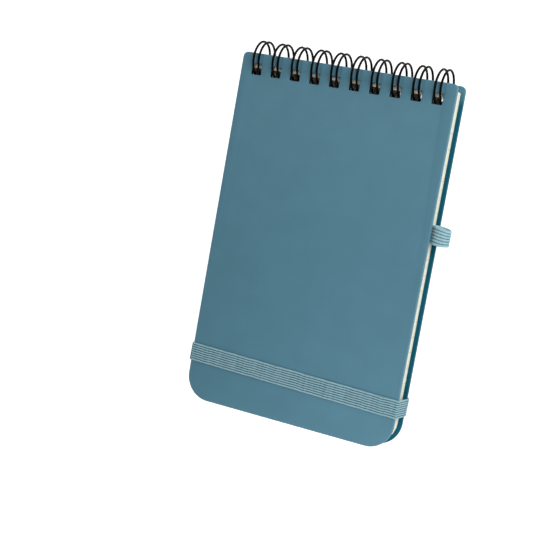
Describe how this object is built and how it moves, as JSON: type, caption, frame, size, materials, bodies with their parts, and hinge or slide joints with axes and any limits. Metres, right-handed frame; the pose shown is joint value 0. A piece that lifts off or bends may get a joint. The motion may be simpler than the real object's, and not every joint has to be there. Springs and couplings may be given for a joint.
{
  "type": "pocket notebook",
  "caption": "Top-bound pocket notebook: soft-touch covers, cream pages on a black twin-loop wire, ribbed elastic closure band and pen loop.",
  "frame": {"origin": "middle of the base of the bounding box, the notebook lying on its back cover", "axes": "+X along the binding to the pen loop's side, +Y towards the binding, +Z out of the front cover"},
  "size_m": [0.097, 0.1454, 0.0146],
  "materials": {
    "cover_skin": "soft-touch matte, steel blue",
    "board": "dyed-through board",
    "liner": "matte dark liner",
    "paper": "uncoated cream",
    "wire": "black enamel, satin",
    "band_elastic": "ribbed woven elastic",
    "pen_elastic": "ribbed woven elastic"
  },
  "bodies": {
    "back_cover": {"back_cover_skin": "cover_skin", "back_cover_board": "board", "back_cover_liner": "liner", "binding_wire": "wire", "band_left_end": "band_elastic", "band_right_end": "band_elastic", "pen_loop": "pen_elastic"},
    "front_cover": {"front_cover_skin": "cover_skin", "front_cover_board": "board", "front_cover_liner": "liner"},
    "pages_1": {"page_pack_1": "paper"},
    "pages_2": {"page_pack_2": "paper"},
    "pages_3": {"page_pack_3": "paper"},
    "pages_4": {"page_pack_4": "paper"},
    "pages_5": {"page_pack_5": "paper"},
    "pages_6": {"page_pack_6": "paper"},
    "pages_7": {"page_pack_7": "paper"},
    "pages_8": {"page_pack_8": "paper"},
    "closure_band": {"band_front": "band_elastic", "band_left_side": "band_elastic", "band_right_side": "band_elastic"}
  },
  "joints": [
    {"name": "front_cover_hinge", "type": "hinge", "parent": "back_cover", "child": "front_cover", "pos_m": [-0.00269, 0.066, 0.0079], "axis": [-1, 0, 0], "range_deg": [0, 180]},
    {"name": "page_turn_1", "type": "hinge", "parent": "back_cover", "child": "pages_1", "pos_m": [-0.00269, 0.066, 0.0079], "axis": [-1, 0, 0], "range_deg": [0, 174.65]},
    {"name": "page_turn_2", "type": "hinge", "parent": "back_cover", "child": "pages_2", "pos_m": [-0.00269, 0.066, 0.0079], "axis": [-1, 0, 0], "range_deg": [0, 170.15]},
    {"name": "page_turn_3", "type": "hinge", "parent": "back_cover", "child": "pages_3", "pos_m": [-0.00269, 0.066, 0.0079], "axis": [-1, 0, 0], "range_deg": [0, 165.65]},
    {"name": "page_turn_4", "type": "hinge", "parent": "back_cover", "child": "pages_4", "pos_m": [-0.00269, 0.066, 0.0079], "axis": [-1, 0, 0], "range_deg": [0, 161.15]},
    {"name": "page_turn_5", "type": "hinge", "parent": "back_cover", "child": "pages_5", "pos_m": [-0.00269, 0.066, 0.0079], "axis": [-1, 0, 0], "range_deg": [0, 10.85]},
    {"name": "page_turn_6", "type": "hinge", "parent": "back_cover", "child": "pages_6", "pos_m": [-0.00269, 0.066, 0.0079], "axis": [-1, 0, 0], "range_deg": [0, 8.15]},
    {"name": "page_turn_7", "type": "hinge", "parent": "back_cover", "child": "pages_7", "pos_m": [-0.00269, 0.066, 0.0079], "axis": [-1, 0, 0], "range_deg": [0, 5.45]},
    {"name": "page_turn_8", "type": "hinge", "parent": "back_cover", "child": "pages_8", "pos_m": [-0.00269, 0.066, 0.0079], "axis": [-1, 0, 0], "range_deg": [0, 2.75]},
    {"name": "band_release", "type": "hinge", "parent": "back_cover", "child": "closure_band", "pos_m": [-0.00269, -0.0551, 0.00661], "axis": [0.9998, -0.0209, 0], "range_deg": [0, 180.05], "deforming": ["band_front", "band_left_side", "band_right_side"]}
  ],
  "couplings": [
    {"joint": "page_turn_1", "follows": "front_cover_hinge", "ratio": 0.97},
    {"joint": "page_turn_2", "follows": "front_cover_hinge", "ratio": 0.945},
    {"joint": "page_turn_3", "follows": "front_cover_hinge", "ratio": 0.92},
    {"joint": "page_turn_4", "follows": "front_cover_hinge", "ratio": 0.895},
    {"joint": "page_turn_5", "follows": "front_cover_hinge", "ratio": 0.06},
    {"joint": "page_turn_6", "follows": "front_cover_hinge", "ratio": 0.045},
    {"joint": "page_turn_7", "follows": "front_cover_hinge", "ratio": 0.03},
    {"joint": "page_turn_8", "follows": "front_cover_hinge", "ratio": 0.015},
    {"joint": "band_release", "follows": "front_cover_hinge", "ratio": 1}
  ]
}
